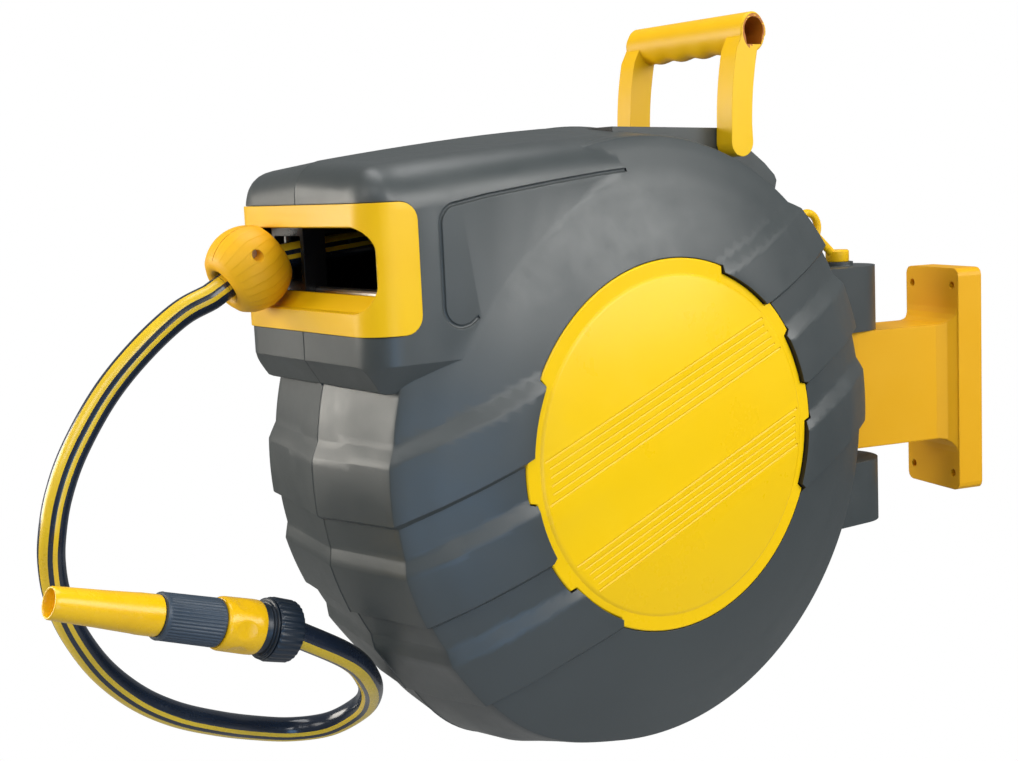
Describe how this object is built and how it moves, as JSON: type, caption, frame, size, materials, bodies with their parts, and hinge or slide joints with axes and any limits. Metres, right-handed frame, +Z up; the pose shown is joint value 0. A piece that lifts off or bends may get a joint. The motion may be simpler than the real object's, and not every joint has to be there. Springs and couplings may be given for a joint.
{
  "type": "automatic hose reel",
  "caption": "Wall-mounted automatic hose reel: banded case on a swing bracket, side outlet with stop ball, free hose end with spray nozzle, folding carrying handle.",
  "frame": {"origin": "centre of the wall plate's back face, on the wall", "axes": "+Z up, +X along the drum's axle toward the disc cover's side, -Y out of the outlet; the bracket is turned 14.1 degrees about +Z from the case, as pictured"},
  "size_m": [0.2378, 0.7584, 0.4862],
  "materials": {
    "case_plastic": "satin",
    "yellow_plastic": "satin",
    "black_plastic": "matt",
    "hose_rubber": "smooth",
    "nozzle_plastic": "matt",
    "steel": "turned",
    "brass": "turned",
    "zinc_screws": "zinc plated"
  },
  "bodies": {
    "wall": {"bracket": "yellow_plastic"},
    "case": {"case_left": "case_plastic", "case_right": "case_plastic", "disc_cover": "yellow_plastic", "inlet_cover": "yellow_plastic", "bezel": "yellow_plastic", "axle": "brass", "inlet_connector": "brass", "inlet_seal": "black_plastic", "guide_rod": "steel", "idler_pin": "steel", "pawl_pin": "steel", "case_screw_1": "zinc_screws", "case_screw_2": "zinc_screws", "case_screw_3": "zinc_screws", "case_screw_4": "zinc_screws"},
    "pin": {"pivot_pin": "steel", "pin_ring": "yellow_plastic"},
    "handle": {"handle": "yellow_plastic", "handle_pin_left": "steel", "handle_pin_right": "steel"},
    "drum": {"drum_core": "black_plastic", "flange_left": "black_plastic", "flange_right": "black_plastic", "hub_bush_left": "brass", "hub_bush_right": "brass", "hose_pack": "hose_rubber", "drive_gear": "black_plastic", "ratchet_ring": "zinc_screws", "spring_barrel": "zinc_screws", "mainspring": "steel", "hose_elbow": "black_plastic", "axle_seal_left": "black_plastic", "axle_seal_right": "black_plastic"},
    "idler": {"idler_gear": "black_plastic"},
    "screw": {"guide_screw": "steel", "screw_gear": "black_plastic"},
    "carriage": {"carriage": "black_plastic", "hose_lead": "hose_rubber", "ball_near": "yellow_plastic", "ball_far": "yellow_plastic", "ball_screw_near": "zinc_screws", "ball_screw_far": "zinc_screws", "hose_free": "hose_rubber", "hose_nut": "black_plastic", "connector_body": "black_plastic", "nozzle_seal": "black_plastic", "nozzle_grip": "nozzle_plastic"},
    "roller_left": {"roller_left": "black_plastic"},
    "roller_right": {"roller_right": "black_plastic"},
    "barrel": {"nozzle_barrel": "yellow_plastic"},
    "collar": {"release_collar": "yellow_plastic"},
    "pawl": {"pawl": "zinc_screws", "pawl_spring": "steel"}
  },
  "joints": [
    {"name": "case_swing", "type": "hinge", "parent": "wall", "child": "case", "pos_m": [-0.0268, -0.10669, 0], "axis": [0, 0, 1], "range_deg": [-94, 65]},
    {"name": "pin_pull", "type": "slide", "parent": "case", "child": "pin", "axis": [0, 0, 1], "range_m": [0, 0.21]},
    {"name": "handle_tilt", "type": "hinge", "parent": "case", "child": "handle", "pos_m": [-0.0268, -0.26369, 0.19206], "axis": [1, 0, 0], "range_deg": [-75, 60]},
    {"name": "drum_turn", "type": "hinge", "parent": "case", "child": "drum", "pos_m": [-0.0268, -0.36469, 0], "axis": [1, 0, 0], "range_deg": [0, 1800]},
    {"name": "idler_turn", "type": "hinge", "parent": "case", "child": "idler", "pos_m": [-0.0268, -0.4844, 0.14057], "axis": [1, 0, 0], "range_deg": [-7200, 0]},
    {"name": "screw_turn", "type": "hinge", "parent": "case", "child": "screw", "pos_m": [-0.0268, -0.53469, 0.155], "axis": [1, 0, 0], "range_deg": [0, 17280]},
    {"name": "guide_travel", "type": "slide", "parent": "case", "child": "carriage", "axis": [1, 0, 0], "range_m": [0, 0.0825]},
    {"name": "roller_left_turn", "type": "hinge", "parent": "carriage", "child": "roller_left", "pos_m": [-0.0808, -0.55269, 0.134], "axis": [0, 0, 1], "continuous": true},
    {"name": "roller_right_turn", "type": "hinge", "parent": "carriage", "child": "roller_right", "pos_m": [-0.0553, -0.55269, 0.134], "axis": [0, 0, 1], "continuous": true},
    {"name": "barrel_turn", "type": "hinge", "parent": "carriage", "child": "barrel", "pos_m": [-0.01996, -0.70332, -0.05962], "axis": [0.0467, -0.9476, 0.3159], "range_deg": [0, 540]},
    {"name": "collar_pull", "type": "slide", "parent": "carriage", "child": "collar", "axis": [-0.0467, 0.9476, -0.3159], "range_m": [0, 0.004], "stiffness_N_per_m": 1500},
    {"name": "pawl_turn", "type": "hinge", "parent": "case", "child": "pawl", "pos_m": [-0.0268, -0.47557, -0.04036], "axis": [1, 0, 0], "range_deg": [-8, 8], "stiffness_Nm_per_rad": 0.02}
  ],
  "couplings": [
    {"joint": "idler_turn", "follows": "drum_turn", "ratio": -4},
    {"joint": "screw_turn", "follows": "drum_turn", "ratio": 9.6},
    {"joint": "guide_travel", "follows": "drum_turn", "m_per_rad": 0.0026261}
  ]
}
